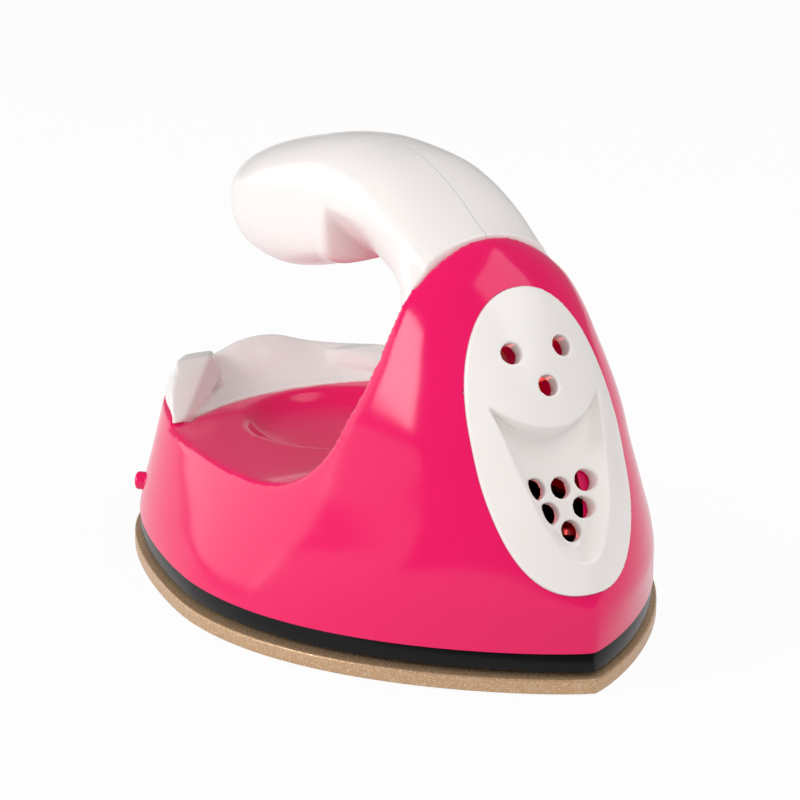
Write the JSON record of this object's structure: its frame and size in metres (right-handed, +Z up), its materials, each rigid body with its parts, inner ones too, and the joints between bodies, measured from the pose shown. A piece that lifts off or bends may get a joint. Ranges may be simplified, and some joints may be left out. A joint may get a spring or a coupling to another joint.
{
  "type": "toy iron",
  "caption": "Palm-sized toy-style craft iron: pointed metal sole plate, black ring, pink cowl body with a smiling vent panel, white heel crown and hooked white handle.",
  "frame": {"origin": "bottom centre of the sole plate", "axes": "+X to the nose, +Y to the left side seen from the heel, +Z up; the sole's underside is Z = 0"},
  "size_m": [0.102, 0.07, 0.0655],
  "materials": {
    "sole_coating": "fine textured champagne coating",
    "black_heatproof": "satin",
    "pink_gloss": "glossy",
    "white_gloss": "glossy",
    "ceramic": "fired ceramic",
    "mica": "flaky",
    "steel": "zinc plated",
    "board_green": "solder resist",
    "black_matte": "matte",
    "rubber_dark": "matte",
    "wire_red": "silicone sleeving"
  },
  "bodies": {
    "iron": {"soleplate": "sole_coating", "heat_shield_ring": "black_heatproof", "body_shell": "pink_gloss", "heel_crown": "white_gloss", "face_panel": "white_gloss", "handle_right_half": "white_gloss", "handle_left_half": "white_gloss", "heater_element": "ceramic", "mica_insulator": "mica", "heater_clamp": "steel", "thermal_cutout": "steel", "circuit_board": "board_green", "push_switch": "black_matte", "return_sleeve": "rubber_dark", "power_socket": "black_matte", "lead_wires": "wire_red", "plate_screws": "steel", "shell_screws": "steel", "clamp_screws": "steel", "handle_screws": "steel"},
    "button": {"power_button": "pink_gloss"}
  },
  "joints": [
    {"name": "button_press", "type": "slide", "parent": "iron", "child": "button", "axis": [0.6691, 0.7431, 0], "range_m": [0, 0.0012], "stiffness_N_per_m": 400, "springref_m": -0.0006, "deforming": ["return_sleeve"]}
  ]
}
